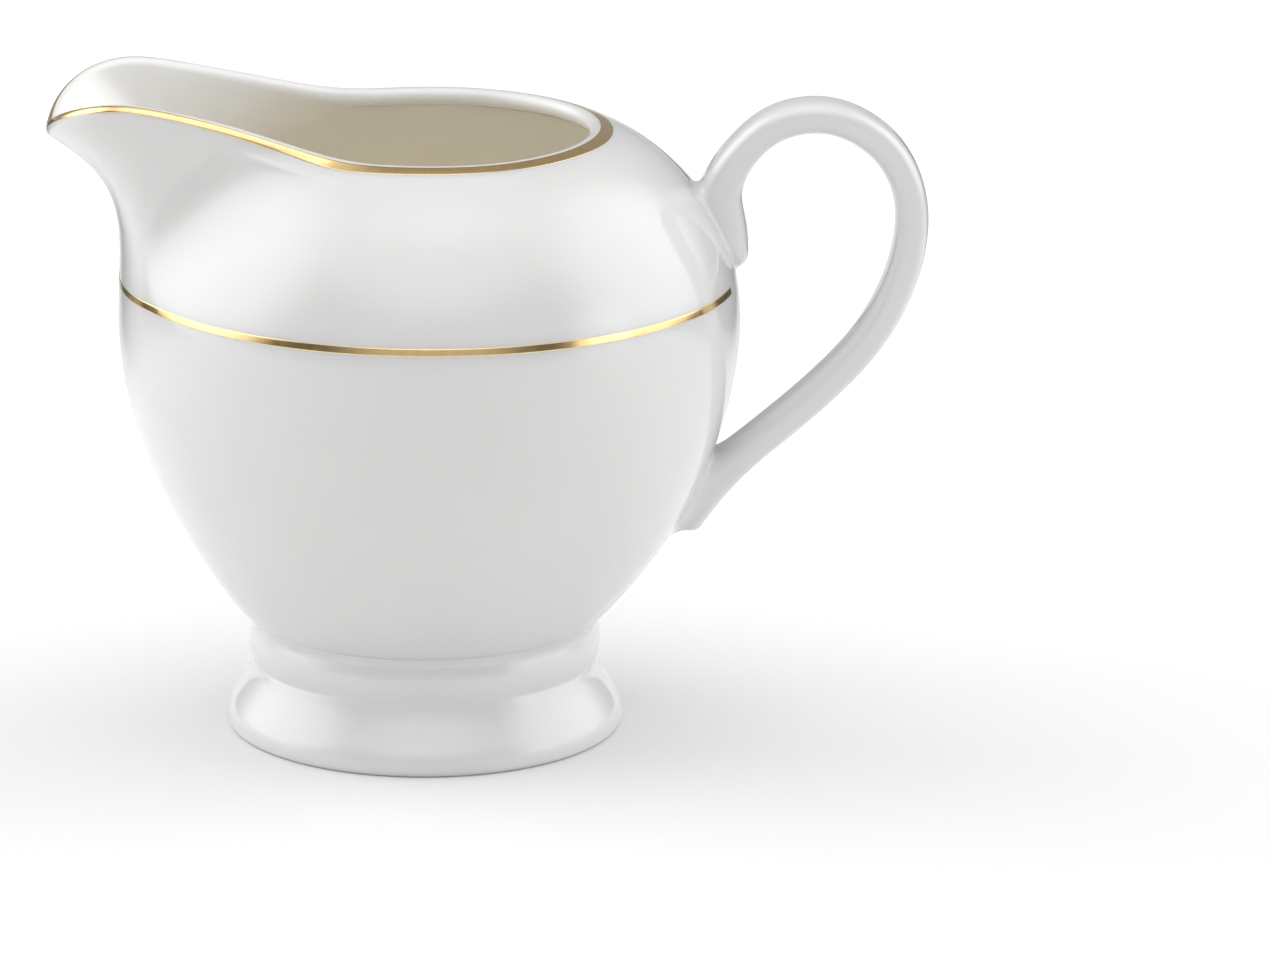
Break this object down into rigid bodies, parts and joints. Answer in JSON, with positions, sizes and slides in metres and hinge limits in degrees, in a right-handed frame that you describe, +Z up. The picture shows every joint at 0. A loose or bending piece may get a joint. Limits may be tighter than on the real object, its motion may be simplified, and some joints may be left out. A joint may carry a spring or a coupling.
{
  "type": "cream jug",
  "caption": "Porcelain cream jug with a round belly, broad pouring lip, flared foot, looped strap handle and gold lines at rim and belly.",
  "frame": {"origin": "on the table plane, under the middle of the overall box, which is 8.6 mm from the foot's own axis towards the handle", "axes": "+X from the spout towards the handle, +Y across the jug, +Z up"},
  "size_m": [0.1214, 0.0856, 0.0916],
  "materials": {
    "porcelain": "clear glossy glaze over white porcelain",
    "gold": "bright fired gold, polished"
  },
  "bodies": {
    "root": {"body": "porcelain", "foot": "porcelain", "handle": "porcelain", "rim_gold_line": "gold", "belly_gold_line": "gold"}
  },
  "joints": []
}
